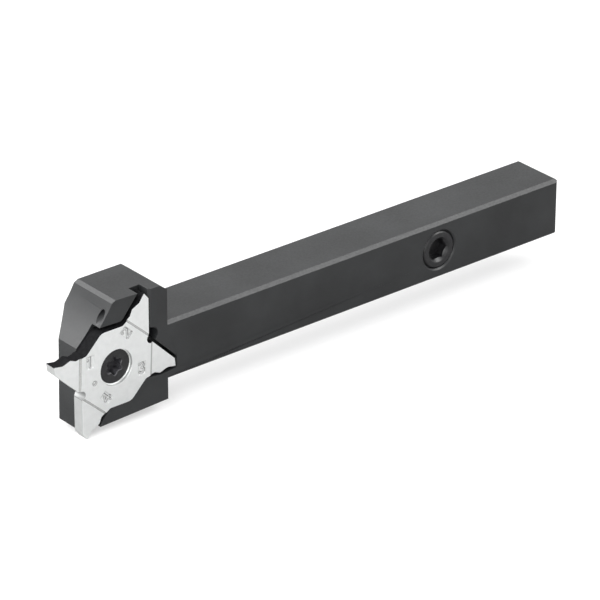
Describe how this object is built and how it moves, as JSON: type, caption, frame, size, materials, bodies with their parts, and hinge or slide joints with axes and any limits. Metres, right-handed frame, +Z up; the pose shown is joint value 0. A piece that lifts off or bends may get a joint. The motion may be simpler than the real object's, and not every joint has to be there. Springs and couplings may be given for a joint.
{
  "type": "grooving tool holder",
  "caption": "Square-shank lathe tool holder with a tall head, a star-shaped multi-edge insert in a side pocket, a countersunk clamp screw and internal coolant passages.",
  "frame": {"origin": "centre of the shank's rear end face, on the axis of the coolant inlet", "axes": "+X along the shank to its rear end, -Y the side that the insert faces, +Z up to the head's top"},
  "size_m": [0.125, 0.0121, 0.0264],
  "materials": {
    "holder_steel": "matt, burnished dark grey",
    "carbide": "ground bright faces",
    "screw_steel": "black oxide",
    "plug_steel": "black oxide"
  },
  "bodies": {
    "holder": {"holder_body": "holder_steel", "side_plug": "plug_steel", "riser_plug": "plug_steel", "cross_plug": "plug_steel"},
    "insert": {"insert": "carbide"},
    "clamp_screw": {"clamp_screw": "screw_steel"}
  },
  "joints": [
    {"name": "insert_slide", "type": "slide", "parent": "holder", "child": "insert", "axis": [0, -1, 0], "range_m": [0, 0.0064]},
    {"name": "screw_turn", "type": "hinge", "parent": "insert", "child": "clamp_screw", "pos_m": [-0.11101, -0.006, 0.00052], "axis": [0, -1, 0], "range_deg": [0, 2881]}
  ],
  "couplings": [
    {"joint": "screw_turn", "follows": "insert_slide", "rad_per_m": 7854}
  ]
}
